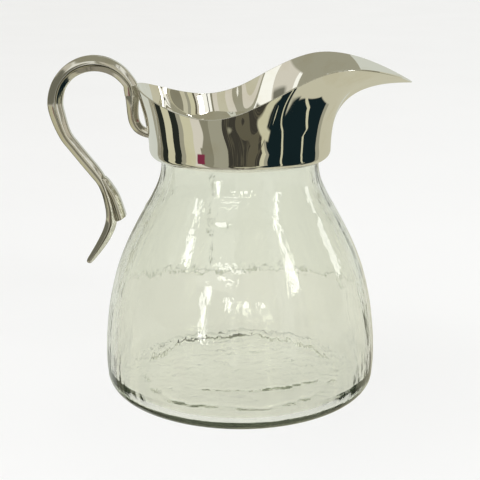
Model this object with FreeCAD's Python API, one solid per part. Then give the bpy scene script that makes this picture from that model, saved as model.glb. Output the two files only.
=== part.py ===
import FreeCAD, Part

# Water pitcher: a blown-glass body with a polished metal collar, spout and scroll handle.
#
# The frame is the pitcher's own: the origin is the centre of the base ring, on the axis of the glass,
# +Z is up and +X points to the spout. Everything is in millimetres.

import math
import os

from FreeCAD import Vector

# ---- driving dimensions ---------------------------------------------------------------------

# glass body
FOOT_RING_INNER = 50.0  # radius where the shallow hollow under the base begins
PUNT_HEIGHT = 2.0  # how far the middle of the base is pushed up
HEEL_RADIUS = 10.0
HEEL_OUTER = 87.6  # radius of the body at the top of the heel
BODY_OUTLINE = [  # (radius, height) of the outer wall, from the heel to the neck
    (88.2, 21.0),
    (87.4, 37.0),
    (84.9, 56.0),
    (80.1, 76.0),
    (73.2, 94.0),
    (64.5, 111.0),
    (56.6, 125.0),
    (51.9, 135.0),
    (50.1, 142.0),
]
NECK_RADIUS = 49.7
NECK_START = 149.0  # the neck is a plain cylinder from here up
LIP_TOP = 162.0
WALL_LOW = 3.6  # thickness of the wall just above the floor
WALL_NECK = 2.6
FLOOR_THICKNESS = 6.5
FLOOR_CORNER = 8.0  # radius inside, where the floor turns up into the wall
WALL_BEGINS = 0.13  # share of the outer curve below the place where the even wall begins
WALL_STEPS = 14
ROUND = 0.56  # a curve's handles at this share of a corner's sides make it close to an arc

# metal collar with its spout, one sheet
SHEET = 1.0
COLLAR_RADIUS = 56.0
COLLAR_START = 155.5  # the band is upright here, and the hem turns in below
HEM_RADIUS = 4.5
HEM_INNER = 50.3  # the hem ends here, just clear of the glass
RIM_BACK = 63.4  # how far the rim reaches behind the axis
RIM_HALF_WIDTH = 60.2
SPOUT_REACH = 107.0  # from the axis to the tip
RIM_BACK_HEIGHT = 195.5
SADDLE_X, SADDLE_HEIGHT = -21.0, 182.1
CREST_X, CREST_HEIGHT = 61.0, 210.1
TIP_HEIGHT = 196.8
SPOUT_SQUARENESS = 4.4  # how long the spout stays wide before it closes to its point
SPOUT_POINT = 1.15  # near 1 is a straight-sided point, larger is blunter
SIDE_U = 0.42  # where along the rim the spout begins: 0 is the back and 1 is the tip
REACH_EASE, ANGLE_EASE = 0.28, 0.38  # places lie wider apart where the spout begins, closer at its tip
WALL_LEAN = (11.0, 91.0)  # degrees from upright at the rim, behind and at the tip
RIM_PULL = (10.0, 35.0)  # how far below the rim the wall keeps that lean
BAND_PULL = (13.0, 31.0)  # how far above the band the wall stays near upright
SWELL, SWELL_X, SWELL_LENGTH = 3.6, 22.0, 18.0  # the rim is fuller where the spout begins
SWELL_RISE = 10.0  # over which the swell grows from nothing at the band's side

RIM_PLACES = [0.0, 0.03, 0.08, 0.14, 0.2, 0.27, 0.34, 0.42, 0.5, 0.57, 0.64, 0.7, 0.76, 0.82, 0.87]
RIM_PLACES += [0.91, 0.95, 0.98, 1.0]  # closer together at both ends, which lie in the XZ plane

# bedding between collar and glass
BED_TOP = 159.6
SEAL_TOP = 162.6
SEAL_DOME = 1.4  # how far the middle of the seal stands above its edge at the glass

# scroll handle, which lies in the XZ plane
LOOP_X, LOOP_Z = -89.8, 183.5
LOOP_RADIUS = 24.8
SCROLL_START = [  # (x, height, thickness, width) of the bar from the collar up to the loop
    (-66.6, 189.0, 9.6, 9.6),
    (-67.3, 192.6, 9.2, 9.8),
]
LOOP = [  # (angle round the loop, thickness, width)
    (32, 8.2, 10.2),
    (52, 8.7, 10.6),
    (72, 9.3, 10.9),
    (92, 9.6, 11.0),
    (112, 9.5, 11.0),
    (132, 9.2, 10.9),
    (154, 9.0, 10.8),
    (178, 9.2, 10.6),
    (200, 8.9, 10.3),
]
SCROLL_END = [  # (x, height, thickness, width) from the loop to the end of the tail
    (-109.2, 163.8, 7.5, 9.8),
    (-103.7, 156.0, 7.3, 9.5),
    (-98.0, 148.5, 7.3, 9.4),
    (-92.1, 140.9, 7.3, 9.5),
    (-87.8, 134.4, 6.4, 9.3),
    (-85.3, 127.4, 5.5, 8.9),
    (-83.5, 120.0, 5.8, 8.8),
    (-82.6, 113.4, 6.1, 8.8),
    (-82.9, 106.6, 7.0, 8.6),
    (-85.6, 99.7, 6.6, 8.0),
    (-89.7, 92.6, 5.8, 7.2),
    (-94.5, 85.7, 4.6, 6.2),
    (-96.9, 82.5, 3.9, 5.4),
    (-98.0, 81.1, 3.0, 4.3),
    (-98.5, 80.4, 1.6, 2.4),
]
BRACKET = [  # (x, height, thickness, width) of the hook from the scroll down to the collar
    (-66.6, 189.0, 9.6, 9.6),
    (-66.8, 183.5, 7.6, 9.3),
    (-66.7, 177.5, 6.9, 9.0),
    (-65.9, 172.2, 6.6, 8.8),
    (-63.6, 168.1, 6.1, 8.6),
    (-60.0, 165.6, 5.5, 8.4),
    (-55.6, 164.3, 5.2, 8.2),
]
SPUR = [  # (x, height, thickness, width) of the leaf that lies along the inside of the tail
    (-87.3, 137.0, 3.4, 9.4),
    (-84.6, 133.0, 5.0, 10.4),
    (-80.5, 125.4, 6.0, 11.4),
    (-77.9, 117.8, 6.4, 12.2),
    (-75.9, 109.9, 6.6, 12.8),
    (-74.8, 104.0, 6.6, 12.8),
]
SPUR_CUT = [(-72.8, 111.8), (-79.2, 108.2)]  # the line of its square end
SPUR_CUTTER = 20.0  # size of the block that cuts it, larger than the leaf every way
FLAT_SHARE = 0.52  # width of the bar's flat faces over its width at the ridge
EDGE_CUT = 0.7  # how far the rounding of an edge reaches along the faces
EDGE_LIMIT = 0.12  # and at most this share of the thickness, where the bar is thin

PARTS = "parts"


# ---- helpers --------------------------------------------------------------------------------


def spline(points, start=None, end=None):
    """A smooth curve through the points, with its end directions where they are given."""
    curve = Part.BSplineCurve()
    if start and end:
        curve.interpolate(points, InitialTangent=start, FinalTangent=end)
    else:
        curve.interpolate(points)
    return curve


def bezier(poles):
    curve = Part.BezierCurve()
    curve.setPoles(poles)
    return curve.toShape()


def revolve(edges):
    """A solid of revolution about the Z axis from edges that close an outline in the XZ plane."""
    face = Part.Face(Part.Wire(Part.__sortEdges__(edges)))
    return Part.Solid(face.revolve(Vector(0, 0, 0), Vector(0, 0, 1), 360))


def at(x, height):
    """A point in the XZ plane."""
    return Vector(x, 0, height)


# ---- glass body -----------------------------------------------------------------------------


def inside_wall(outer):
    """The points of the inner wall, from above the floor to the neck, square in from the outer."""
    first, last = outer.FirstParameter, outer.LastParameter
    points = []
    for i in range(WALL_STEPS):
        share = i / (WALL_STEPS - 1)
        u = first + (last - first) * (WALL_BEGINS + (1 - WALL_BEGINS) * share)
        p, along = outer.value(u), outer.tangent(u)[0]
        wall = WALL_LOW + (WALL_NECK - WALL_LOW) * share
        points.append(at(p.x - along.z * wall, p.z + along.x * wall))
    return points


def glass_body():
    """Foot ring, heel, body and neck, with an even wall, a thick floor and a rounded lip."""
    up = Vector(0, 0, 1)
    heel_top = at(HEEL_OUTER, HEEL_RADIUS)
    heel_foot = at(HEEL_OUTER - HEEL_RADIUS, 0)
    lean = HEEL_RADIUS * math.sqrt(0.5)
    heel_middle = at(heel_foot.x + lean, HEEL_RADIUS - lean)
    outline = [heel_top] + [at(r, z) for r, z in BODY_OUTLINE] + [at(NECK_RADIUS, NECK_START)]
    outer = spline(outline, up, up)

    wall = inside_wall(outer)
    slope = (wall[1] - wall[0]).normalize()
    inner = spline(wall[::-1], up * -1, slope * -1)
    floor_edge = at(wall[0].x - FLOOR_CORNER, FLOOR_THICKNESS)
    corner_down = wall[0] - slope * (wall[0].z - FLOOR_THICKNESS) * ROUND
    corner_in = floor_edge + Vector(FLOOR_CORNER * ROUND, 0, 0)

    lip_low = LIP_TOP - WALL_NECK / 2
    lip = Part.Arc(
        at(NECK_RADIUS, lip_low),
        at(NECK_RADIUS - WALL_NECK / 2, LIP_TOP),
        at(NECK_RADIUS - WALL_NECK, lip_low),
    )
    punt_side, punt_top = at(FOOT_RING_INNER * 0.6, PUNT_HEIGHT), at(0, PUNT_HEIGHT)
    edges = [
        bezier([at(FOOT_RING_INNER, 0), punt_side, punt_top]),
        Part.makeLine(at(FOOT_RING_INNER, 0), heel_foot),
        Part.Arc(heel_foot, heel_middle, heel_top).toShape(),
        outer.toShape(),
        Part.makeLine(at(NECK_RADIUS, NECK_START), at(NECK_RADIUS, lip_low)),
        lip.toShape(),
        Part.makeLine(at(NECK_RADIUS - WALL_NECK, lip_low), wall[-1]),
        inner.toShape(),
        bezier([wall[0], corner_down, corner_in, floor_edge]),
        Part.makeLine(floor_edge, at(0, FLOOR_THICKNESS)),
        Part.makeLine(at(0, FLOOR_THICKNESS), punt_top),
    ]
    return revolve(edges)


# ---- collar and spout -----------------------------------------------------------------------


def rim_height(x):
    """Height of the rim: high behind, low at the saddle, highest on the spout, down to the tip."""
    if x < SADDLE_X:
        share = (SADDLE_X - x) / (SADDLE_X + RIM_BACK)
        return SADDLE_HEIGHT + (RIM_BACK_HEIGHT - SADDLE_HEIGHT) * share**1.7
    if x < CREST_X:
        share = (x - SADDLE_X) / (CREST_X - SADDLE_X)
        return SADDLE_HEIGHT + (CREST_HEIGHT - SADDLE_HEIGHT) * (1 - math.cos(math.pi * share)) / 2
    share = (x - CREST_X) / (SPOUT_REACH - CREST_X)
    return CREST_HEIGHT - (CREST_HEIGHT - TIP_HEIGHT) * share**1.9


def rim_place(u):
    """The rim's point and the collar's angle below it, from the back, 0, to the spout's tip, 1."""
    if u <= SIDE_U:
        turn = math.pi / 2 * u / SIDE_U
        x, y = -RIM_BACK * math.cos(turn), RIM_HALF_WIDTH * math.sin(turn)
        return Vector(x, y, rim_height(x)), math.pi - turn
    share = (u - SIDE_U) / (1 - SIDE_U)
    reach = share * (1 + REACH_EASE * (1 - share))
    x = SPOUT_REACH * reach
    y = RIM_HALF_WIDTH * (1 - min(reach, 1.0) ** SPOUT_SQUARENESS) ** (1 / SPOUT_POINT)
    swell = SWELL * math.exp(-(((x - SWELL_X) / SWELL_LENGTH) ** 2)) * (1 - reach**2)
    y += swell * (1 - math.exp(-((x / SWELL_RISE) ** 2)))
    angle = math.pi / 2 * (1 - share * (1 + ANGLE_EASE * (1 - share)))
    return Vector(x, y, rim_height(x)), angle


def toward_tip(pair, u):
    """The first value all the way to where the spout begins, then easing to the second at its tip."""
    share = max(0.0, (u - SIDE_U) / (1 - SIDE_U))
    return pair[0] + (pair[1] - pair[0]) * share * share * (3 - 2 * share)


def collar_section(u):
    """The sheet's closed outline from hem to rim, at one place round the collar."""
    rim, angle = rim_place(u)
    radial = Vector(math.cos(angle), math.sin(angle), 0)
    up = Vector(0, 0, 1)
    foot = radial * COLLAR_RADIUS + up * COLLAR_START
    out = Vector(rim.x - foot.x, rim.y - foot.y, 0).normalize()
    lean = math.radians(toward_tip(WALL_LEAN, u))
    arrive = out * math.sin(lean) + up * math.cos(lean)

    near = 0.002
    along = (rim_place(min(u + near, 1.0))[0] - rim_place(max(u - near, 0.0))[0]).normalize()
    outward = along.cross(arrive)
    if outward.dot(out * math.cos(lean) - up * math.sin(lean)) < 0:
        outward = outward * -1
    if u in (0.0, 1.0):
        outward.y = 0
    outward.normalize()

    outer = [
        foot,
        foot + up * toward_tip(BAND_PULL, u),
        rim - arrive * toward_tip(RIM_PULL, u),
        rim,
    ]
    shifts = [radial * SHEET, radial * SHEET, outward * SHEET, outward * SHEET]
    inner = [p - s for p, s in zip(outer, shifts)]
    inner[2] = inner[3] - arrive * toward_tip(RIM_PULL, u)

    centre = radial * (COLLAR_RADIUS - HEM_RADIUS) + up * COLLAR_START

    def hem(radius):
        diagonal = radius * math.sqrt(0.5)
        start = centre + radial * radius
        middle = centre + radial * diagonal - up * diagonal
        end = centre - up * radius
        return Part.Arc(start, middle, end).toShape(), end

    outer_hem, outer_end = hem(HEM_RADIUS)
    inner_hem, inner_end = hem(HEM_RADIUS - SHEET)
    lip = radial * HEM_INNER + up * outer_end.z
    edges = [
        bezier(outer),
        Part.makeLine(outer[3], inner[3]),
        bezier(inner[::-1]),
        inner_hem,
        Part.makeLine(inner_end, lip + up * SHEET),
        Part.makeLine(lip + up * SHEET, lip),
        Part.makeLine(lip, outer_end),
        outer_hem,
    ]
    return Part.Wire(Part.__sortEdges__(edges))


def collar_spout():
    """Band, hem and spout from one sheet: a half is lofted, then mirrored and joined."""
    half = Part.makeLoft([collar_section(u) for u in RIM_PLACES], True, False)
    other = half.mirror(Vector(0, 0, 0), Vector(0, 1, 0))
    return half.fuse(other).removeSplitter()


# ---- bedding --------------------------------------------------------------------------------


def neck_cement(collar):
    """The ring of plaster-like cement that beds the collar on the neck."""
    floor = COLLAR_START - HEM_RADIUS + SHEET / 2
    outer = COLLAR_RADIUS - SHEET / 2
    corners = [at(NECK_RADIUS, floor), at(outer, floor), at(outer, BED_TOP), at(NECK_RADIUS, BED_TOP)]
    ring = revolve([Part.makeLine(a, b) for a, b in zip(corners, corners[1:] + corners[:1])])
    return against_neck(ring.cut(collar))


def lip_seal(collar):
    """The soft ring over the cement, domed between the glass lip and the collar's wall."""
    outer = COLLAR_RADIUS - SHEET / 2
    low, high = at(NECK_RADIUS, BED_TOP), at(NECK_RADIUS, SEAL_TOP - SEAL_DOME)
    wall = at(outer, SEAL_TOP - SEAL_DOME)
    edges = [
        Part.makeLine(high, low),
        Part.makeLine(low, at(outer, BED_TOP)),
        Part.makeLine(at(outer, BED_TOP), wall),
        Part.Arc(wall, at((NECK_RADIUS + outer) / 2, SEAL_TOP), high).toShape(),
    ]
    return against_neck(revolve(edges).cut(collar))


def against_neck(shape):
    """The solid of a shape that touches the neck, without any sliver left beyond the collar."""
    neck = Part.Vertex(at(NECK_RADIUS, BED_TOP))
    return min(shape.Solids, key=lambda solid: solid.distToShape(neck)[0])


# ---- handle ---------------------------------------------------------------------------------


def bar_section(centre, along, thickness, width):
    """A six-sided section with a ridge on each side, its edges eased, square to the bar."""
    out = Vector(-along.z, 0, along.x)
    side = Vector(0, 1, 0)
    flat = side * width * FLAT_SHARE / 2
    half = out * thickness / 2
    ridge = side * width / 2
    spokes = [half + flat, ridge, flat - half, flat * -1 - half, ridge * -1, half - flat]
    corners = [centre + spoke for spoke in spokes]
    count = len(corners)
    cut = min(EDGE_CUT, thickness * EDGE_LIMIT)
    edges = []
    for i, corner in enumerate(corners):
        before, after = corners[i - 1], corners[(i + 1) % count]
        start = corner + (before - corner).normalize() * cut
        end = corner + (after - corner).normalize() * cut
        leave = after + (corner - after).normalize() * cut
        edges.append(bezier([start, corner, end]))
        edges.append(Part.makeLine(end, leave))
    return Part.Wire(edges)


def bar(stations):
    """A solid bar through stations of (x, height, thickness, width)."""
    path = spline([at(x, z) for x, z, thickness, width in stations])
    sections = []
    for x, z, thickness, width in stations:
        u = path.parameter(at(x, z))
        sections.append(bar_section(at(x, z), path.tangent(u)[0], thickness, width))
    return Part.makeLoft(sections, True, False)


def largest(shape):
    return max(shape.Solids, key=lambda solid: solid.Volume)


def outline_prism(points, width):
    """A plate with this outline in the XZ plane, as wide as asked for, centred on the plane."""
    face = Part.Face(Part.makePolygon(points + points[:1]))
    face.translate(Vector(0, -width / 2, 0))
    return face.extrude(Vector(0, width, 0))


def handle_scroll(collar):
    """The main bar: from the collar over the loop, down the S and out to the tail."""
    loop = []
    for degrees, thickness, width in LOOP:
        angle = math.radians(degrees)
        x, z = LOOP_X + LOOP_RADIUS * math.cos(angle), LOOP_Z + LOOP_RADIUS * math.sin(angle)
        loop.append((x, z, thickness, width))
    whole = bar(SCROLL_START + loop + SCROLL_END)
    return largest(whole.cut(collar))


def handle_bracket(collar, scroll):
    """The hook under the scroll, which runs down and turns in to the collar."""
    return largest(bar(BRACKET).cut(collar).cut(scroll))


def handle_spur(scroll):
    """The leaf along the inside of the tail, with its end cut square."""
    right, left = at(*SPUR_CUT[0]), at(*SPUR_CUT[1])
    along = (left - right).normalize()
    below = Vector(along.z, 0, -along.x)
    if below.z > 0:
        below = below * -1
    start, end = right - along * SPUR_CUTTER, left + along * SPUR_CUTTER
    corners = [start, end, end + below * SPUR_CUTTER, start + below * SPUR_CUTTER]
    cutter = outline_prism(corners, SPUR_CUTTER)
    return largest(bar(SPUR).cut(cutter).cut(scroll))


# ---- output ---------------------------------------------------------------------------------


def report(name, shape):
    box = shape.BoundBox
    print(
        f"{name}: {len(shape.Solids)} solid, {len(shape.Faces)} faces, valid {shape.isValid()}, "
        f"volume {shape.Volume / 1000:.2f} cm3, x {box.XMin:.1f}..{box.XMax:.1f} "
        f"y {box.YMin:.1f}..{box.YMax:.1f} z {box.ZMin:.1f}..{box.ZMax:.1f}"
    )


os.makedirs(PARTS, exist_ok=True)
COLLAR = collar_spout()
SCROLL = handle_scroll(COLLAR)
NODES = {
    "glass_body": glass_body(),
    "neck_cement": neck_cement(COLLAR),
    "lip_seal": lip_seal(COLLAR),
    "collar_spout": COLLAR,
    "handle_scroll": SCROLL,
    "handle_bracket": handle_bracket(COLLAR, SCROLL),
    "handle_spur": handle_spur(SCROLL),
}
for node, solid in NODES.items():
    report(node, solid)
    solid.exportStep(f"{PARTS}/{node}.step")
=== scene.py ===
# Water pitcher: a blown-glass body with a polished silver collar, spout and scroll handle.
#
# Sizes in the sections are in millimetres, as a maker would measure them, and MM turns them into metres.
# The origin is the centre of the base, +Z is up and +X points to the spout.

import math

import bmesh
import bpy
from mathutils import Matrix, Vector, noise


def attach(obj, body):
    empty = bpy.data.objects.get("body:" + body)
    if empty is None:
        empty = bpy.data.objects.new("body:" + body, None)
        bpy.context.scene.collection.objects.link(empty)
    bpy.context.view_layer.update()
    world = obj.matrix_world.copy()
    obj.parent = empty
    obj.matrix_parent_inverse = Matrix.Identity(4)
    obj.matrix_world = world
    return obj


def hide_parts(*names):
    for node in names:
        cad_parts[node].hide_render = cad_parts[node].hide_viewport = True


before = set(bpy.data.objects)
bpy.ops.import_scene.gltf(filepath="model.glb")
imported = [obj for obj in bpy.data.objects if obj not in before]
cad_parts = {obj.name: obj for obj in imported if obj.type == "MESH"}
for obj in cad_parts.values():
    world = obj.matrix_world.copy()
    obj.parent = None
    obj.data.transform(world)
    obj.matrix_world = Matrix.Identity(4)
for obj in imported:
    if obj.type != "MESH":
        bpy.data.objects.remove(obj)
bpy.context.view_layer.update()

# ---- Glass body -----------------------------------------------------------------------------
# One vessel of clear soda glass, faintly green, blown by hand into a mould and cracked off at the lip.
# The wall is about 3 mm, the floor twice that, and both faces keep the soft upright ripples of the blowing.

MM = 0.001

FOOT = [(0, 1.3), (16, 1.2), (32, 0.8), (44, 0.5), (54, 0.35), (64, 0.25), (73, 0.14), (77.6, 0.0)]
STANDING_RING = (77.6, 0.0)
HEEL_RADIUS = 10.0
OUTER_WALL = [(87.6, 10), (88.05, 15), (88.2, 21), (87.9, 29), (87.4, 37), (84.9, 56), (80.1, 76), (73.2, 94)]
OUTER_WALL += [(64.5, 111), (56.6, 125), (51.9, 135), (50.1, 142), (49.6, 149), (49.6, 160.5)]
LIP = [(49.3, 161.4), (48.4, 161.9), (47.4, 161.5)]
INNER_WALL = [(47.1, 160.6), (47.1, 149), (47.4, 142), (49.1, 134), (53.7, 123.6), (61.4, 109.4)]
INNER_WALL += [(69.9, 92.4), (76.7, 74.6), (81.5, 55), (83.9, 37), (84.6, 28), (84.7, 20), (84.3, 14.5)]
FLOOR = [(83.0, 9.9), (80.8, 6.9), (78.0, 5.5), (73, 5.1), (66, 5.1), (56, 5.3), (46, 5.5), (36, 5.7)]
FLOOR += [(26, 5.9), (12, 6.1), (0, 6.2)]
FLOOR_LEVEL = FLOOR[-1][1]
OUTER_SWELL, INNER_SWELL = 0.16, 0.42  # how far the ripples move the two faces of the wall
WALL_PIECES = 300  # faces round the glass


def smooth_line(points, steps):
    """The points of a smooth curve through some places, each a tuple of any length."""

    def between(p, q, r, s, t):
        bend, twist = 2 * p - 5 * q + 4 * r - s, 3 * q - p - 3 * r + s
        return 0.5 * (2 * q + (r - p) * t + bend * t**2 + twist * t**3)

    places = [points[0]] + list(points) + [points[-1]]
    line = []
    for four in zip(places, places[1:], places[2:], places[3:]):
        for i in range(steps):
            line.append(tuple(between(*numbers, i / steps) for numbers in zip(*four)))
    return line + [tuple(points[-1])]


def heel_arc(steps):
    """The quarter round from the standing ring up to the side."""
    x, z = STANDING_RING
    turns = [math.pi / 2 * i / steps for i in range(steps + 1)]
    return [(x + HEEL_RADIUS * math.sin(t), z + HEEL_RADIUS * (1 - math.cos(t))) for t in turns]


def make_object(name, mesh_maker, material):
    """Turns a bmesh into an object of one material."""
    mesh = bpy.data.meshes.new(name)
    mesh_maker.to_mesh(mesh)
    mesh_maker.free()
    mesh.materials.append(material)
    thing = bpy.data.objects.new(name, mesh)
    bpy.context.collection.objects.link(thing)
    return thing


def make_piece(name, mesh_maker, material, node):
    """Turns a bmesh into a piece of the pitcher that stands for a node of the frame."""
    piece = make_object(name, mesh_maker, material)
    piece.data.shade_smooth()
    piece.data.set_sharp_from_angle(angle=math.radians(50))
    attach(piece, "root")
    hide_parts(node)
    return piece


class Value:
    """A socket of a node tree, so that sums on it are written as sums."""

    def __init__(self, tree, socket):
        self.tree, self.socket = tree, socket

    def math(self, operation, *others):
        node = self.tree.nodes.new("ShaderNodeMath")
        node.operation = operation
        for place, other in zip(node.inputs, (self, *others)):
            if isinstance(other, Value):
                self.tree.links.new(other.socket, place)
            elif other is not None:
                place.default_value = other
        return Value(self.tree, node.outputs[0])

    def __add__(self, other):
        return self.math("ADD", other)

    def __sub__(self, other):
        return self.math("SUBTRACT", other)

    def __mul__(self, other):
        return self.math("MULTIPLY", other)

    def __truediv__(self, other):
        return self.math("DIVIDE", other)

    def __radd__(self, other):
        return self + other

    def __rmul__(self, other):
        return self * other

    def __rsub__(self, other):
        return (self * -1.0) + other

    def over(self, low, high):
        """0 below low and 1 above high, rising evenly between them."""
        node = self.tree.nodes.new("ShaderNodeMapRange")
        self.tree.links.new(self.socket, node.inputs["Value"])
        node.inputs["From Min"].default_value, node.inputs["From Max"].default_value = low, high
        return Value(self.tree, node.outputs["Result"])

    def between(self, low, high, soft=0.5):
        """1 from low to high and 0 outside."""
        return self.over(low - soft, low + soft) * (1.0 - self.over(high - soft, high + soft))


class Nodes:
    """The node tree of a material or of the world, empty to start with."""

    def __init__(self, owner):
        owner.use_nodes = True
        self.tree = owner.node_tree
        self.tree.nodes.clear()

    def add(self, kind, settings=None, sockets=None):
        """One node: its settings, then the value or link of each socket. Gives back its outputs by name."""
        node = self.tree.nodes.new("ShaderNode" + kind)
        for name, setting in (settings or {}).items():
            if name == "stops":
                ramp = node.color_ramp
                while len(ramp.elements) < len(setting):
                    ramp.elements.new(0.5)
                for element, (place, colour) in zip(ramp.elements, setting):
                    element.position, element.color = place, (*colour, 1)
            elif name == "interpolation" and kind == "ValToRGB":
                node.color_ramp.interpolation = setting
            else:
                setattr(node, name, setting)
        for name, value in (sockets or {}).items():
            if isinstance(value, Value):
                self.tree.links.new(value.socket, node.inputs[name])
            else:
                node.inputs[name].default_value = value
        return {out.name: Value(self.tree, out) for out in node.outputs}

    def colour(self, mask, low, high):
        """Two colours mixed by a mask: low where it is 0 and high where it is 1."""
        node = self.tree.nodes.new("ShaderNodeMix")
        node.data_type = "RGBA"
        self.tree.links.new(mask.socket, node.inputs[0])
        for place, tone in ((6, low), (7, high)):
            if isinstance(tone, Value):
                self.tree.links.new(tone.socket, node.inputs[place])
            else:
                node.inputs[place].default_value = (*tone, 1)
        return Value(self.tree, node.outputs[2])


def glass_ripple(angle, height, seed):
    """How far the wall swells here, from -1 to 1: long upright waves with softer lumps over them."""
    x, y = math.cos(angle), math.sin(angle)
    waves = noise.noise(Vector((x * 7, y * 7, height / 75 + seed)))
    fine = noise.noise(Vector((x * 19, y * 19, height / 34 + seed + 9)))
    lumps = noise.noise(Vector((x * 5, y * 5, height / 15 + seed + 20)))
    return 0.5 * waves + 0.22 * fine + 0.3 * lumps


def hump(place, middle, width):
    """1 in the middle, falling smoothly to nothing on both sides."""
    return math.exp(-(((place - middle) / width) ** 2))


def round_noise(angle, bumps, seed):
    """Noise round the axis that closes on itself."""
    return noise.noise(Vector((math.cos(angle) * bumps, math.sin(angle) * bumps, seed)))


def floor_ripple(x, y):
    """How the tool left the inside of the floor: a wandering ridge near the wall, a crease, and puddles."""
    reach, angle = math.hypot(x, y), math.atan2(y, x)
    wander = round_noise(angle, 2, 2) + 0.5 * round_noise(angle, 7, 5)
    ridge = hump(reach, 63 + 5 * wander, 2.2) * (0.75 + 0.9 * round_noise(angle, 4, 11))
    crease_line = -36 + (x + 5) ** 2 / 170 + 7 * noise.noise(Vector((x / 16, 0, 14)))
    crease = hump(y, crease_line, 2.0) * max(0.0, 1 - ((x - 8) / 46) ** 4)
    crease *= 0.7 + 1.3 * noise.noise(Vector((x / 7, y / 7, 17)))
    puddles = noise.noise(Vector((x / 17, y / 24, 6)))
    return 0.65 * ridge + 0.8 * crease + 0.05 * puddles


def glass_mesh():
    """The outline turned round the axis, and then each face moved in and out by its ripples."""
    outside = smooth_line(FOOT, 2)[:-1] + heel_arc(10)[:-1] + smooth_line(OUTER_WALL, 6)
    inside = smooth_line(INNER_WALL, 6)[:-1] + smooth_line([INNER_WALL[-1]] + FLOOR, 10)
    lip = smooth_line([OUTER_WALL[-1]] + LIP + [INNER_WALL[0]], 3)[1:-1]
    profile = outside + lip + inside
    bm = bmesh.new()
    points = [bm.verts.new((x * MM, 0, z * MM)) for x, z in profile]
    outline = points + [bm.edges.new(pair) for pair in zip(points, points[1:])]
    whole_turn = {"axis": (0, 0, 1), "cent": (0, 0, 0), "angle": 2 * math.pi, "steps": WALL_PIECES}
    bmesh.ops.spin(bm, geom=outline, use_merge=True, **whole_turn)
    bmesh.ops.remove_doubles(bm, verts=bm.verts, dist=0.002 * MM)
    bmesh.ops.recalc_face_normals(bm, faces=bm.faces)
    bm.normal_update()
    moves = []
    for vert in bm.verts:
        x, y, z = vert.co / MM
        reach, angle = math.hypot(x, y), math.atan2(y, x)
        below_neck = min(1.0, max(0.0, (150 - z) / 18))  # the neck is true where the collar grips it
        faces_in = vert.normal.x * x + vert.normal.y * y < 0 or vert.normal.z > 0.5
        if z > 4 and faces_in:
            side = min(1.0, max(0.0, (z - FLOOR_LEVEL) / 18))
            move = side * below_neck * (INNER_SWELL * glass_ripple(angle, z, 40) + 0.1)
            on_floor = max(0.0, 1 - (z - FLOOR_LEVEL) / 8) * min(1.0, reach / 12)
            move += on_floor * floor_ripple(x, y)
            corner = hump(z, 8, 6) * hump(reach, 80, 7)
            move += 0.15 * corner * (round_noise(angle, 3, 3) + 0.6 * round_noise(angle, 9, 8))
        elif z > 2.5:
            side = min(1.0, (z - 2.5) / 10)
            move = side * below_neck * OUTER_SWELL * (glass_ripple(angle, z, 0) - 1)
        else:
            move = 0.0  # the foot is ground flat
        moves.append((vert, vert.normal * move * MM))
    for vert, move in moves:
        vert.co += move
    return bm


glass = bpy.data.materials.new("clear_glass")
tree = Nodes(glass)
where = tree.add("TexCoord")["Object"]
streaks = tree.add("Mapping", sockets={"Vector": where, "Scale": (1, 1, 0.2)})["Vector"]
fine_streaks = tree.add("TexNoise", sockets={"Vector": streaks, "Scale": 260.0, "Detail": 2.0})["Fac"]
broad_streaks = tree.add("TexNoise", sockets={"Vector": streaks, "Scale": 75.0, "Detail": 1.5})["Fac"]
dimples = tree.add("TexNoise", sockets={"Vector": where, "Scale": 110.0, "Detail": 2.0})["Fac"]
height = fine_streaks * 0.3 + broad_streaks * 0.9 + dimples * 0.35
bump = tree.add("Bump", sockets={"Height": height, "Strength": 1.0, "Distance": 0.0004})["Normal"]
surface = tree.add(
    "BsdfPrincipled",
    sockets={
        "Base Color": (0.91, 0.915, 0.845, 1),
        "Roughness": 0.01,
        "IOR": 1.5,
        "Transmission Weight": 1.0,
        "Normal": bump,
    },
)["BSDF"]
body = tree.add("VolumeAbsorption", sockets={"Color": (0.79, 0.81, 0.76, 1), "Density": 42.0})["Volume"]
tree.add("OutputMaterial", sockets={"Surface": surface, "Volume": body})

vessel = make_piece("blown_glass_body", glass_mesh(), glass, "glass_body")
vessel.visible_diffuse = False  # so that the table under it is lit as through real glass
vessel.visible_shadow = False

# ---- Neck cement ----------------------------------------------------------------------------
# A ring of plaster-like cement, run in between the neck and the collar to hold the two together.
# It fills the gap, and shows only as a dull line inside the hem.

cement = bpy.data.materials.new("neck_cement")
tree = Nodes(cement)
where = tree.add("TexCoord")["Object"]
grain = tree.add("TexNoise", sockets={"Vector": where, "Scale": 900.0, "Detail": 4.0})["Fac"]
patches = tree.add("TexNoise", sockets={"Vector": where, "Scale": 120.0, "Detail": 3.0})["Fac"]
pits = tree.add("TexVoronoi", sockets={"Vector": where, "Scale": 700.0})["Distance"]
bump = tree.add("Bump", sockets={"Height": grain * 0.5 + pits, "Strength": 0.8, "Distance": 0.0002})["Normal"]
surface = tree.add(
    "BsdfPrincipled",
    sockets={
        "Base Color": tree.colour(patches.over(0.35, 0.7), (0.62, 0.60, 0.53), (0.76, 0.74, 0.68)),
        "Roughness": grain.over(0.2, 0.8) * 0.15 + 0.78,
        "Normal": bump,
    },
)["BSDF"]
tree.add("OutputMaterial", sockets={"Surface": surface})


def paint_node(node, material):
    """Gives a piece that the frame brings its material."""
    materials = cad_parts[node].data.materials
    materials.clear()
    materials.append(material)


paint_node("neck_cement", cement)

# ---- Lip seal -------------------------------------------------------------------------------
# A bead of clear-grey silicone over the cement, smoothed with a wet finger.
# It keeps water out of the joint between the glass lip and the collar.

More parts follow.
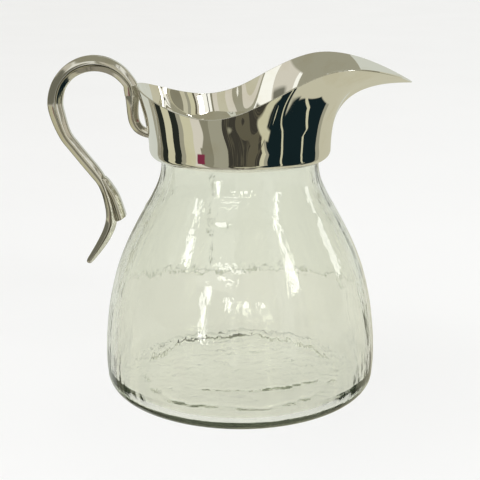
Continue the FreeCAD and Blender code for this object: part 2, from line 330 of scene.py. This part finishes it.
silicone = bpy.data.materials.new("lip_silicone")
tree = Nodes(silicone)
where = tree.add("TexCoord")["Object"]
drag = tree.add("TexNoise", sockets={"Vector": where, "Scale": 130.0, "Detail": 2.0})["Fac"]
dust = tree.add("TexNoise", sockets={"Vector": where, "Scale": 1500.0, "Detail": 3.0})["Fac"]
bump = tree.add("Bump", sockets={"Height": drag + dust * 0.1, "Strength": 0.5, "Distance": 0.0003})["Normal"]
surface = tree.add(
    "BsdfPrincipled",
    sockets={
        "Base Color": tree.colour(drag.over(0.3, 0.7), (0.60, 0.62, 0.59), (0.73, 0.74, 0.71)),
        "Roughness": dust.over(0.2, 0.8) * 0.12 + 0.28,
        "Subsurface Weight": 0.3,
        "Subsurface Radius": (0.002, 0.002, 0.002),
        "Normal": bump,
    },
)["BSDF"]
tree.add("OutputMaterial", sockets={"Surface": surface})
paint_node("lip_seal", silicone)

# ---- Collar and spout -----------------------------------------------------------------------
# One millimetre of brass sheet, raised by hammer over stakes into a band that opens to a broad spout.
# Its hem is turned in under the band, and it is silver-plated and buffed to a mirror.

SHEET = 1.0
BAND_RADIUS, BAND_HEIGHT = 56.0, 155.5
HEM_RADIUS, HEM_INNER = 4.5, 50.3
RIM_BACK, RIM_HALF_WIDTH, SPOUT_REACH = 63.4, 60.2, 107.0
RIM_HEIGHTS = {"back": 195.5, "saddle": 182.1, "crest": 210.1, "tip": 196.8}
SADDLE_X, CREST_X = -21.0, 61.0
SPOUT_BEGINS = 0.42  # along the rim, where 0 is the back and 1 is the tip
SPOUT_SQUARENESS, SPOUT_POINT = 4.4, 1.15  # how long the spout stays wide, and how blunt its tip is
ROUND_COLLAR, UP_HEM, UP_WALL = 320, 12, 30  # faces


def rim_height(x):
    """The height of the rim at x: it dips behind the axis and crests before the tip."""
    high = RIM_HEIGHTS
    if x < SADDLE_X:
        share = (SADDLE_X - x) / (SADDLE_X + RIM_BACK)
        return high["saddle"] + (high["back"] - high["saddle"]) * share**1.7
    if x < CREST_X:
        share = (x - SADDLE_X) / (CREST_X - SADDLE_X)
        return high["saddle"] + (high["crest"] - high["saddle"]) * (1 - math.cos(math.pi * share)) / 2
    share = (x - CREST_X) / (SPOUT_REACH - CREST_X)
    return high["crest"] - (high["crest"] - high["tip"]) * share**1.9


def rim_place(u):
    """A point of the rim, and the angle of the band below it."""
    if u <= SPOUT_BEGINS:
        turn = math.pi / 2 * u / SPOUT_BEGINS
        x, y = -RIM_BACK * math.cos(turn), RIM_HALF_WIDTH * math.sin(turn)
        return Vector((x, y, rim_height(x))), math.pi - turn
    share = (u - SPOUT_BEGINS) / (1 - SPOUT_BEGINS)
    reach = min(1.0, share * (1 + 0.28 * (1 - share)))
    x = SPOUT_REACH * reach
    y = RIM_HALF_WIDTH * (1 - reach**SPOUT_SQUARENESS) ** (1 / SPOUT_POINT)
    y += 3.6 * hump(x, 22, 18) * (1 - reach**2) * (1 - hump(x, 0, 10))  # the swell before the spout
    angle = math.pi / 2 * (1 - share * (1 + 0.38 * (1 - share)))
    return Vector((x, y, rim_height(x))), angle


def wall_place(u, t):
    """A point of the collar's outer face, on the far half: t is 0 at the band and 1 at the rim."""
    rim, angle = rim_place(u)
    up = Vector((0, 0, 1))
    foot = Vector((math.cos(angle), math.sin(angle), 0)) * BAND_RADIUS + up * BAND_HEIGHT
    share = max(0.0, (u - SPOUT_BEGINS) / (1 - SPOUT_BEGINS))
    ease = share * share * (3 - 2 * share)
    lean = math.radians(11 + 80 * ease)
    out = Vector((rim.x - foot.x, rim.y - foot.y, 0)).normalized()
    arrive = out * math.sin(lean) + up * math.cos(lean)
    poles = [foot, foot + up * (13 + 18 * ease), rim - arrive * (10 + 25 * ease), rim]
    weights = [(1 - t) ** 3, 3 * t * (1 - t) ** 2, 3 * t * t * (1 - t), t**3]
    return sum((pole * weight for pole, weight in zip(poles, weights)), Vector())


def hem_place(u, t):
    """A point of the turned-in hem: t is 0 at its inner edge and 1 where the band begins."""
    angle = rim_place(u)[1]
    if t < 0.25:
        reach = HEM_INNER + (BAND_RADIUS - HEM_RADIUS - HEM_INNER) * t / 0.25
        height = BAND_HEIGHT - HEM_RADIUS
    else:
        turn = math.pi / 2 * (t - 0.25) / 0.75
        reach = BAND_RADIUS - HEM_RADIUS + HEM_RADIUS * math.sin(turn)
        height = BAND_HEIGHT - HEM_RADIUS * math.cos(turn)
    return Vector((reach * math.cos(angle), reach * math.sin(angle), height))


def formed_sheet(across, along, place):
    """A grid of faces bent so that each point lies where place(across share, along share) says."""
    bm = bmesh.new()
    bmesh.ops.create_grid(bm, x_segments=across, y_segments=along, size=1)
    for vert in bm.verts:
        vert.co = place((vert.co.x + 1) / 2, (vert.co.y + 1) / 2) * MM
    bmesh.ops.remove_doubles(bm, verts=bm.verts, dist=0.001 * MM)
    bmesh.ops.recalc_face_normals(bm, faces=bm.faces)
    return bm


def collar_place(across, along):
    """A point of the whole collar: across goes round it from the back, along goes up from the hem."""
    u = 1 - abs(1 - 2 * across)
    hem_share = UP_HEM / (UP_HEM + UP_WALL)
    if along < hem_share:
        point = hem_place(u, along / hem_share)
    else:
        t = (along - hem_share) / (1 - hem_share)
        point = wall_place(u, t * (1 + 0.35 * (1 - t)) if t < 1 else 1.0)
    return Vector((point.x, point.y if across <= 0.5 else -point.y, point.z))


def polished_silver(name, wave, base, sheen):
    """Buffed silver plate: slow waves of the hammer, fine wheel lines, a breath of tarnish."""
    material = bpy.data.materials.new(name)
    tree = Nodes(material)
    where = tree.add("TexCoord")["Object"]
    waves = tree.add("TexNoise", sockets={"Vector": where, "Scale": 28.0, "Detail": 1.0})["Fac"]
    small = tree.add("TexNoise", sockets={"Vector": where, "Scale": 95.0, "Detail": 1.0})["Fac"]
    wheel = tree.add("Mapping", sockets={"Vector": where, "Scale": (1.0, 1.0, 26.0)})["Vector"]
    lines = tree.add("TexNoise", sockets={"Vector": wheel, "Scale": 160.0, "Detail": 3.0})["Fac"]
    haze = tree.add("TexNoise", sockets={"Vector": where, "Scale": 60.0, "Detail": 4.0})["Fac"]
    relief = waves * wave + small * (0.12 * wave) + lines * 0.0005
    bump = tree.add("Bump", sockets={"Height": relief, "Distance": 0.0005})["Normal"]
    tarnish = haze.over(0.52, 0.8)
    tarnished = (base[0] * 0.93, base[1] * 0.9, base[2] * 0.84)
    surface = tree.add(
        "BsdfPrincipled",
        sockets={
            "Base Color": tree.colour(tarnish, base, tarnished),
            "Metallic": 1.0,
            "Roughness": tarnish * 0.03 + lines.over(0.45, 0.75) * 0.015 + sheen,
            "Normal": bump,
        },
    )["BSDF"]
    tree.add("OutputMaterial", sockets={"Surface": surface})
    return material


silver_sheet = polished_silver("silver_sheet", 0.35, (0.93, 0.92, 0.88), 0.018)
collar_sheet = formed_sheet(ROUND_COLLAR, UP_HEM + UP_WALL, collar_place)
collar = make_piece("silver_collar", collar_sheet, silver_sheet, "collar_spout")
wall = collar.modifiers.new("sheet", "SOLIDIFY")
wall.thickness, wall.offset, wall.use_even_offset = SHEET * MM, -1, True
edge = collar.modifiers.new("rim_edge", "BEVEL")
edge.width, edge.segments, edge.harden_normals = 0.25 * MM, 2, True
edge.limit_method, edge.angle_limit = "ANGLE", math.radians(50)

# ---- Scroll handle --------------------------------------------------------------------------
# A cast bar of six-sided section with a ridge down each side, bent into an open scroll.
# It is soldered to the back of the collar, filed, silver-plated and buffed.

LOOP_CENTRE, LOOP_RADIUS = (-89.8, 183.5), 24.8
# the stations of a bar are (x, height, thickness, width), and the loop's are (degrees round, thickness, width)
SCROLL_START = [(-66.6, 189.0, 9.6, 9.6), (-67.3, 192.6, 9.2, 9.8)]
LOOP = [(32, 8.2, 10.2), (52, 8.7, 10.6), (72, 9.3, 10.9), (92, 9.6, 11.0), (112, 9.5, 11.0)]
LOOP += [(132, 9.2, 10.9), (154, 9.0, 10.8), (178, 9.2, 10.6), (200, 8.9, 10.3)]
SCROLL_END = [(-109.2, 163.8, 7.5, 9.8), (-103.7, 156.0, 7.3, 9.5), (-98.0, 148.5, 7.3, 9.4)]
SCROLL_END += [(-92.1, 140.9, 7.3, 9.5), (-87.8, 134.4, 6.4, 9.3), (-85.3, 127.4, 5.5, 8.9)]
SCROLL_END += [(-83.5, 120.0, 5.8, 8.8), (-82.6, 113.4, 6.1, 8.8), (-82.9, 106.6, 7.0, 8.6)]
SCROLL_END += [(-85.6, 99.7, 6.6, 8.0), (-89.7, 92.6, 5.8, 7.2), (-94.5, 85.7, 4.6, 6.2)]
SCROLL_END += [(-96.9, 82.5, 3.9, 5.4), (-98.0, 81.1, 3.0, 4.3), (-98.5, 80.4, 1.6, 2.4)]
FLAT_SHARE = 0.52  # width of the flat faces over the width at the ridges
RIDGE_ROUND, EDGE_ROUND = 0.40, 0.12  # share of a face that the rounding takes at a ridge and at an edge


def bar_outline():
    """The section of the bar, one unit thick and wide: six faces with softly rounded ridges."""
    flat = FLAT_SHARE / 2
    corners = [(0.5, flat), (0, 0.5), (-0.5, flat), (-0.5, -flat), (0, -0.5), (0.5, -flat)]
    corners = [Vector(corner) for corner in corners]
    rounding = [EDGE_ROUND, RIDGE_ROUND, EDGE_ROUND] * 2
    outline = []
    for i, corner in enumerate(corners):
        before, after = corners[i - 1], corners[(i + 1) % 6]
        start, end = corner.lerp(before, rounding[i]), corner.lerp(after, rounding[i])
        steps = 9 if rounding[i] == RIDGE_ROUND else 4
        for j in range(steps + 1):
            t = j / steps
            outline.append(start.lerp(corner, t).lerp(corner.lerp(end, t), t))
        far = 1 - rounding[(i + 1) % 6]
        for share in (0.25, 0.5, 0.75):
            outline.append(corner.lerp(after, rounding[i] + (far - rounding[i]) * share))
    return outline


def bar_mesh(stations, steps):
    """A bar through stations of (x, height, thickness, width), closed at both ends."""
    line = smooth_line(stations, steps)
    outline = bar_outline()
    rows, points = len(line), len(outline)

    def place(across, along):
        row, point = round(along * (rows - 1)), round(across * points) % points
        x, z, thick, wide = line[row]
        ahead, behind = line[min(row + 1, rows - 1)], line[max(row - 1, 0)]
        path = Vector((ahead[0] - behind[0], 0, ahead[1] - behind[1])).normalized()
        out = Vector((-path.z, 0, path.x))
        a, b = outline[point]
        return Vector((x, 0, z)) + out * (a * thick) + Vector((0, b * wide, 0))

    bm = formed_sheet(points, rows - 1, place)
    bmesh.ops.holes_fill(bm, edges=[edge for edge in bm.edges if edge.is_boundary], sides=0)
    bmesh.ops.recalc_face_normals(bm, faces=bm.faces)
    return bm


loop = []
for turn, thick, wide in LOOP:
    turn = math.radians(turn)
    x, z = LOOP_CENTRE[0] + LOOP_RADIUS * math.cos(turn), LOOP_CENTRE[1] + LOOP_RADIUS * math.sin(turn)
    loop.append((x, z, thick, wide))
# the cast parts get a darker silver than the sheet: painted shade, for the dimmer room that the handle mirrors
shaded_silver_cast = polished_silver("shaded_silver_cast", 0.4, (0.72, 0.705, 0.65), 0.09)
make_piece("scroll_bar", bar_mesh(SCROLL_START + loop + SCROLL_END, 6), shaded_silver_cast, "handle_scroll")

# ---- Bracket --------------------------------------------------------------------------------
# The same bar drawn down and bent in under the scroll, where its end is soldered to the band.

BRACKET = [(-66.9, 192.0, 7.4, 8.0), (-66.7, 188.0, 8.6, 9.0), (-66.8, 183.5, 7.6, 9.3)]
BRACKET += [(-66.7, 177.5, 6.9, 9.0), (-65.9, 172.2, 6.6, 8.8), (-63.6, 168.1, 6.1, 8.6)]
BRACKET += [(-60.0, 165.6, 5.5, 8.4), (-56.2, 164.3, 5.2, 8.2)]
make_piece("scroll_bracket", bar_mesh(BRACKET, 6), shaded_silver_cast, "handle_bracket")

# ---- Spur -----------------------------------------------------------------------------------
# A leaf of the same casting, laid along the inside of the tail, with its end cut off square.

SPUR = [(-86.6, 136.2, 3.6, 9.6), (-84.6, 133.0, 5.0, 10.4), (-80.5, 125.4, 6.0, 11.4)]
SPUR += [(-77.9, 117.8, 6.4, 12.2), (-75.9, 109.9, 6.6, 12.8), (-74.8, 104.0, 6.6, 12.8)]
SPUR_CUT = ((-72.8, 111.8), (-79.2, 108.2))  # where the cut begins and ends, as (x, height)
spur = bar_mesh(SPUR, 5)
(right, high), (left, low) = SPUR_CUT
bmesh.ops.bisect_plane(
    spur,
    geom=spur.verts[:] + spur.edges[:] + spur.faces[:],
    plane_co=(right * MM, 0, high * MM),
    plane_no=Vector((high - low, 0, left - right)).normalized(),
    clear_outer=True,
)
bmesh.ops.holes_fill(spur, edges=[edge for edge in spur.edges if edge.is_boundary], sides=0)
bmesh.ops.recalc_face_normals(spur, faces=spur.faces)
leaf = make_piece("scroll_spur", spur, shaded_silver_cast, "handle_spur")
edge = leaf.modifiers.new("cut_edge", "BEVEL")
edge.width, edge.segments = 0.35 * MM, 2
edge.limit_method, edge.angle_limit = "ANGLE", math.radians(60)

# ---- Floor, light and camera ----------------------------------------------------------------
# A pale floor without an edge in view, a bright even surround, soft window-like lamps and a high sun.
# What the polished metal mirrors is a calm room: a pale table, walls with dark doors, a dim ceiling.


def stage_sheet(name, size, material, turn=Matrix()):
    """A square sheet of the studio, which is no part of the pitcher."""
    maker = bmesh.new()
    bmesh.ops.create_grid(maker, x_segments=1, y_segments=1, size=size)
    bmesh.ops.transform(maker, matrix=turn, verts=maker.verts)
    sheet = make_object(name, maker, material)
    return sheet


floor_material = bpy.data.materials.new("floor")
tree = Nodes(floor_material)
where = tree.add("TexCoord")["Object"]
mottle = tree.add("TexNoise", sockets={"Vector": where, "Scale": 3.0, "Detail": 2.0})["Fac"]
tone = tree.colour(mottle, (0.90, 0.90, 0.895), (0.93, 0.93, 0.925))
surface = tree.add("BsdfPrincipled", sockets={"Base Color": tone, "Roughness": 0.6})["BSDF"]
tree.add("OutputMaterial", sockets={"Surface": surface})
floor = stage_sheet("floor", 9, floor_material)
floor.visible_glossy = False

# a wall behind the table, in two sheets with a joint, that shows only through the glass; no lamp lights it, and
# it glows with its tones as painted light
WALL_BEHIND, WALL_SIZE = 0.235, 1.5
paint = bpy.data.materials.new("backdrop")
tree = Nodes(paint)
where = tree.add("SeparateXYZ", sockets={"Vector": tree.add("TexCoord")["Object"]})
foot_line = 1.0 - where["Z"].over(0.0, 0.003)
joint = where["X"].between(-0.0215, -0.0195, 0.0004).math("MAXIMUM", foot_line)
tone = tree.colour(where["Z"].over(0.0, 0.1), (0.93, 0.94, 0.92), (0.88, 0.90, 0.89))
tone = tree.colour(where["Z"].over(0.1, 0.17), tone, (0.30, 0.31, 0.26))
glow = tree.add("Emission", sockets={"Color": tree.colour(joint, tone, (0.45, 0.47, 0.42))})["Emission"]
tree.add("OutputMaterial", sockets={"Surface": glow})
upright = Matrix.Translation((0, WALL_BEHIND, WALL_SIZE)) @ Matrix.Rotation(math.pi / 2, 4, "X")
backdrop = stage_sheet("backdrop", WALL_SIZE, paint, upright)
backdrop.visible_camera = backdrop.visible_diffuse = backdrop.visible_glossy = backdrop.visible_shadow = False

# The room that the metal mirrors. Directions are degrees round from the front, negative to the handle's side,
# and degrees up. A wall's colour starts at its direction and runs on to the next.
PALE, LIGHT, CREAM, BEIGE = (0.62, 0.64, 0.57), (0.66, 0.63, 0.54), (0.59, 0.57, 0.40), (0.55, 0.53, 0.40)
OLIVE, GREY, DUSK, GROUND = (0.34, 0.33, 0.25), (0.24, 0.23, 0.165), (0.19, 0.185, 0.145), (0.34, 0.32, 0.26)
BROWN, UMBER, TEAL = (0.115, 0.105, 0.07), (0.045, 0.042, 0.033), (0.0075, 0.0165, 0.019)
BLACK, WINE, WHITE, DAYLIGHT = (0.02, 0.024, 0.019), (0.2, 0.03, 0.06), (1, 1, 0.93), (0.88, 0.90, 0.85)
STUDIO_LIGHT, STUDIO_WHITE = (0.87, 0.87, 0.87), (0.94, 0.94, 0.94)
LOW_WALLS = [
    (-180, PALE), (-129, OLIVE), (-121, GREY), (-115, BLACK), (-103, CREAM), (-90, BLACK), (-79, OLIVE),
    (-72, CREAM), (-58, LIGHT), (-50, GREY), (-34, OLIVE), (-16, UMBER), (7, BROWN), (16, UMBER),
    (21.5, CREAM), (28, OLIVE), (31, TEAL), (48, CREAM), (51, TEAL), (79, CREAM), (82.5, TEAL),
    (107, OLIVE), (116, BEIGE), (165, PALE),
]
HIGH_WALLS = [
    (-180, OLIVE), (-78, WHITE), (-74.5, LIGHT), (-45, WHITE), (-6, OLIVE), (-1, LIGHT), (9, BEIGE),
    (22, LIGHT), (29, GREY), (31, WHITE), (36, UMBER), (37.5, WHITE), (46, GREY), (48, LIGHT),
    (56, BROWN), (58, CREAM), (66, OLIVE), (70, BEIGE), (76, GREY), (98, BEIGE), (130, PALE),
]
# patches of it: from and to how far round and up, each with the softness of its edges
SHADES = [((-105, -9, 2), (-9, 23, 1), DUSK), ((-66, -48, 2), (20, 31, 1), DUSK)]
SPOTS = [((-56, -46, 0.7), (-19, -11, 0.7), WINE), ((-60, -50, 0.7), (-45, -26, 0.7), LIGHT)]
DOOR_FRAME = [((-9, 28, 2), (-41.7, -35.5, 0.7)), ((-9, 14, 2), (-43, -35.5, 0.7))]
TABLE_EDGE = [(25, 46.5), (60, 43.9), (78, 43.3)]  # from how far round, and how far down, the near table shows

world = bpy.data.worlds.new("studio")
bpy.context.scene.world = world
tree = Nodes(world)
direction = tree.add("SeparateXYZ", sockets={"Vector": tree.add("TexCoord")["Generated"]})
azimuth = direction["X"].math("ARCTAN2", direction["Y"] * -1.0) * (180 / math.pi)
height = direction["Z"].math("ARCSINE") * (180 / math.pi)
below = height * -1.0
lean = 1.0 + below.over(16, 38) * 0.15 - below.over(40, 46) * 0.13
jog = azimuth.between(75, 110, 5) * below.over(28.5, 30.5) * (1.0 - below.over(31, 38)) * 5
slant = below.over(24, 44) * azimuth.between(0, 38, 7) * 20
low_place = (azimuth / lean + slant - jog) / 360 + 0.5
high_place = azimuth / 360 + 0.5
rings = []
for walls, place in ((LOW_WALLS, low_place), (HIGH_WALLS, high_place)):
    stops = [((turn + 180) / 360, tone) for turn, tone in walls]
    ramp = tree.add("ValToRGB", {"stops": stops, "interpolation": "CONSTANT"}, {"Fac": place})
    rings.append(ramp["Color"])
room = tree.colour(height.over(-11, -9), rings[0], rings[1])
for around, up, tone in SHADES:
    room = tree.colour(azimuth.between(*around) * height.between(*up), room, tone)
room = tree.colour(below.over(50, 54) * (1.0 - azimuth.over(20, 30)), room, GROUND)
room = tree.colour(height.over(42, 44) * (1.0 - azimuth.between(160, 181)), room, OLIVE)
room = tree.colour(azimuth.between(158, 160.5) * height.over(18, 20), room, BROWN)
streak = tree.add("CombineXYZ", sockets={"X": azimuth * 0.45, "Y": height * 0.04})["Vector"]
streaks = tree.add("TexNoise", sockets={"Vector": streak, "Scale": 1.0, "Detail": 3.0})["Fac"]
streaks = streaks.over(0.5, 0.62) * azimuth.between(-17, 22, 2) * below.over(-2, 2)
room = tree.colour(streaks * 0.8, room, BROWN)
for around, up, tone in SPOTS:
    room = tree.colour(azimuth.between(*around) * height.between(*up), room, tone)
wide_part, tall_part = [azimuth.between(*around) * height.between(*up) for around, up in DOOR_FRAME]
room = tree.colour(wide_part.math("MAXIMUM", tall_part), room, CREAM)
table = (azimuth - height * 2).over(193, 195)
for turn, down in TABLE_EDGE:
    table = table.math("MAXIMUM", below.over(down, down + 0.5) * azimuth.over(turn, turn + 2))
room = tree.colour(table, room, BEIGE)
wall = azimuth.math("ABSOLUTE").over(95, 135) * (1.0 - height.over(35, 55)) * 0.7 + 0.3
behind = tree.colour(wall, room, DAYLIGHT)
light = tree.add("LightPath")
mirrored = light["Is Glossy Ray"] * (1.0 - light["Is Transmission Ray"])
seen = tree.colour(mirrored, STUDIO_LIGHT, room)
seen = tree.colour(light["Is Transmission Ray"], seen, behind)
seen = tree.colour(light["Is Camera Ray"], seen, STUDIO_WHITE)
studio = tree.add("Background", sockets={"Color": seen})["Background"]
tree.add("OutputWorld", sockets={"Surface": studio})

# The first window lights the glass, the collar and the floor. The others show only as reflections in the glass.
WINDOW_DISTANCE, WINDOW_LEVEL = 2.0, 0.1
WINDOWS = [  # degrees round, degrees up, width and height in degrees, brightness
    (50, 30, 6, 26, 7), (-62, 29, 5, 9, 7), (-28, 50, 12, 10, 7), (-32, 10, 5, 26, 7), (-12, 15, 4, 5, 7),
    (3, 16, 4, 6, 7), (18, 14, 4, 5, 7), (105, 14, 9, 14, 4), (-14, 33, 24, 1.2, 5), (-14, 27, 18, 1.5, 5),
]
glass_only = bpy.data.collections.new("glass_only")
glass_only.objects.link(vessel)
no_handle = bpy.data.collections.new("no_handle")
for lit in (vessel, collar, floor):
    no_handle.objects.link(lit)
for number, (turn, rise, wide, high, bright) in enumerate(WINDOWS):
    turn, rise = math.radians(turn), math.radians(rise)
    lamp = bpy.data.lights.new(f"window_{number}", "AREA")
    lamp.shape = "RECTANGLE"
    lamp.size, lamp.size_y = WINDOW_DISTANCE * math.radians(wide), WINDOW_DISTANCE * math.radians(high)
    lamp.energy = bright * math.pi * lamp.size * lamp.size_y
    holder = bpy.data.objects.new(f"window_{number}", lamp)
    bpy.context.collection.objects.link(holder)
    away, up = WINDOW_DISTANCE * math.cos(rise), WINDOW_DISTANCE * math.sin(rise)
    holder.location = (away * math.sin(turn), -away * math.cos(turn), WINDOW_LEVEL + up)
    holder.rotation_euler = (math.pi / 2 - rise, 0, turn)
    holder.light_linking.receiver_collection = glass_only if number else no_handle

sun = bpy.data.lights.new("overhead", "SUN")
sun.energy, sun.angle = 0.6, math.radians(70)
overhead = bpy.data.objects.new("overhead", sun)
bpy.context.collection.objects.link(overhead)
overhead.rotation_euler = (math.radians(-12), math.radians(-16), 0)
overhead.visible_glossy = overhead.visible_transmission = False

VIEW_DISTANCE, VIEW_HEIGHT, VIEW_TURN, VIEW_DOWN = 0.623, 0.271, math.radians(-1.5), math.radians(15.8)
lens = bpy.data.cameras.new("camera")
lens.lens, lens.sensor_width = 75, 36
camera = bpy.data.objects.new("camera", lens)
bpy.context.collection.objects.link(camera)
camera.location = (VIEW_DISTANCE * math.sin(VIEW_TURN), -VIEW_DISTANCE * math.cos(VIEW_TURN), VIEW_HEIGHT)
camera.rotation_euler = (math.pi / 2 - VIEW_DOWN, 0, VIEW_TURN)
bpy.context.scene.camera = camera
bpy.context.scene.view_settings.view_transform = "Standard"
bounces = bpy.context.scene.cycles
bounces.max_bounces, bounces.glossy_bounces, bounces.transmission_bounces = 32, 24, 24
